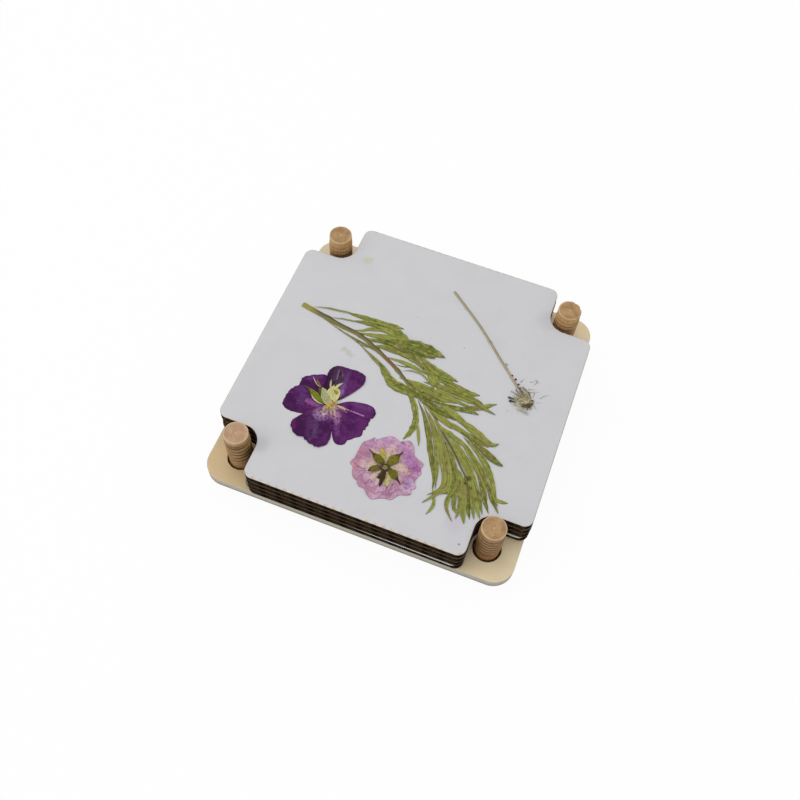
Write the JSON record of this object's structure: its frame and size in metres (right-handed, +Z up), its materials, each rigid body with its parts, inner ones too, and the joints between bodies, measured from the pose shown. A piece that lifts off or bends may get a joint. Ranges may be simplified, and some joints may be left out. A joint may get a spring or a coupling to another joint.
{
  "type": "flower press",
  "caption": "Opened flower press: plywood base on wooden bolts, corrugated cards and blotting papers between them, dried flowers laid on the top card.",
  "frame": {"origin": "on the axis through the middle of the base board, in the plane that the bolt heads stand on", "axes": "+Z up along the bolts, +X to the right and +Y to the rear, along the base board's edges. The cards' flutes run along Y"},
  "size_m": [0.1818, 0.1814, 0.0445],
  "materials": {
    "plywood": "sanded birch plywood, bare",
    "beech": "turned beech, bare, satin",
    "brown_liner": "brown kraft liner, matte",
    "brown_fluting": "brown kraft fluting, matte",
    "white_liner": "white liner, matte",
    "blotting_paper": "white blotting paper, matte",
    "dried_stem": "dried plant stem, matte",
    "dried_leaf": "pressed leaf, matte",
    "violet_petal": "pressed petal, faint sheen",
    "cream_sepal": "pressed sepal, matte",
    "pink_petal": "pressed petal, matte",
    "green_sepal": "pressed sepal, matte",
    "straw_stalk": "dried stalk, matte",
    "seed_fluff": "dried seed hairs, matte"
  },
  "bodies": {
    "base": {"base_board": "plywood"},
    "bolt_left_front": {"bolt_left_front": "beech"},
    "bolt_right_front": {"bolt_right_front": "beech"},
    "bolt_right_rear": {"bolt_right_rear": "beech"},
    "bolt_left_rear": {"bolt_left_rear": "beech"},
    "card_1": {"card_1_lower_liner": "brown_liner", "card_1_fluting": "brown_fluting", "card_1_upper_liner": "white_liner"},
    "blotter_1": {"blotter_1": "blotting_paper"},
    "card_2": {"card_2_lower_liner": "brown_liner", "card_2_fluting": "brown_fluting", "card_2_upper_liner": "white_liner"},
    "blotter_2": {"blotter_2": "blotting_paper"},
    "card_3": {"card_3_lower_liner": "brown_liner", "card_3_fluting": "brown_fluting", "card_3_upper_liner": "white_liner"},
    "blotter_3": {"blotter_3": "blotting_paper"},
    "card_4": {"card_4_lower_liner": "brown_liner", "card_4_fluting": "brown_fluting", "card_4_upper_liner": "white_liner"},
    "sprig": {"sprig_stem": "dried_stem", "sprig_leaves": "dried_leaf"},
    "purple_flower": {"purple_flower_petals": "violet_petal", "purple_flower_centre": "cream_sepal"},
    "pink_flower": {"pink_flower_petals": "pink_petal", "pink_flower_calyx": "green_sepal"},
    "seed_head": {"seed_head_stalk": "straw_stalk", "seed_head_bristles": "seed_fluff"}
  },
  "joints": [
    {"name": "bolt_left_front_turn", "type": "hinge", "parent": "base", "child": "bolt_left_front", "pos_m": [-0.0725, -0.0725, 0.011], "axis": [0, 0, 1], "continuous": true},
    {"name": "bolt_right_front_turn", "type": "hinge", "parent": "base", "child": "bolt_right_front", "pos_m": [0.0725, -0.0725, 0.011], "axis": [0, 0, 1], "continuous": true},
    {"name": "bolt_right_rear_turn", "type": "hinge", "parent": "base", "child": "bolt_right_rear", "pos_m": [0.0725, 0.0725, 0.011], "axis": [0, 0, 1], "continuous": true},
    {"name": "bolt_left_rear_turn", "type": "hinge", "parent": "base", "child": "bolt_left_rear", "pos_m": [-0.0725, 0.0725, 0.011], "axis": [0, 0, 1], "continuous": true},
    {"name": "card_1_lift", "type": "slide", "parent": "base", "child": "card_1", "axis": [0, 0, 1], "range_m": [0, 0.032]},
    {"name": "blotter_1_lift", "type": "slide", "parent": "card_1", "child": "blotter_1", "axis": [0, 0, 1], "range_m": [0, 0.0271]},
    {"name": "card_2_lift", "type": "slide", "parent": "blotter_1", "child": "card_2", "axis": [0, 0, 1], "range_m": [0, 0.0267]},
    {"name": "blotter_2_lift", "type": "slide", "parent": "card_2", "child": "blotter_2", "axis": [0, 0, 1], "range_m": [0, 0.0218]},
    {"name": "card_3_lift", "type": "slide", "parent": "blotter_2", "child": "card_3", "axis": [0, 0, 1], "range_m": [0, 0.0214]},
    {"name": "blotter_3_lift", "type": "slide", "parent": "card_3", "child": "blotter_3", "axis": [0, 0, 1], "range_m": [0, 0.0165]},
    {"name": "card_4_lift", "type": "slide", "parent": "blotter_3", "child": "card_4", "axis": [0, 0, 1], "range_m": [0, 0.0161]},
    {"name": "sprig_lift", "type": "slide", "parent": "card_4", "child": "sprig", "axis": [0, 0, 1], "range_m": [0, 0.02]},
    {"name": "purple_flower_lift", "type": "slide", "parent": "card_4", "child": "purple_flower", "axis": [0, 0, 1], "range_m": [0, 0.02]},
    {"name": "pink_flower_lift", "type": "slide", "parent": "card_4", "child": "pink_flower", "axis": [0, 0, 1], "range_m": [0, 0.02]},
    {"name": "seed_head_lift", "type": "slide", "parent": "card_4", "child": "seed_head", "axis": [0, 0, 1], "range_m": [0, 0.02]}
  ]
}
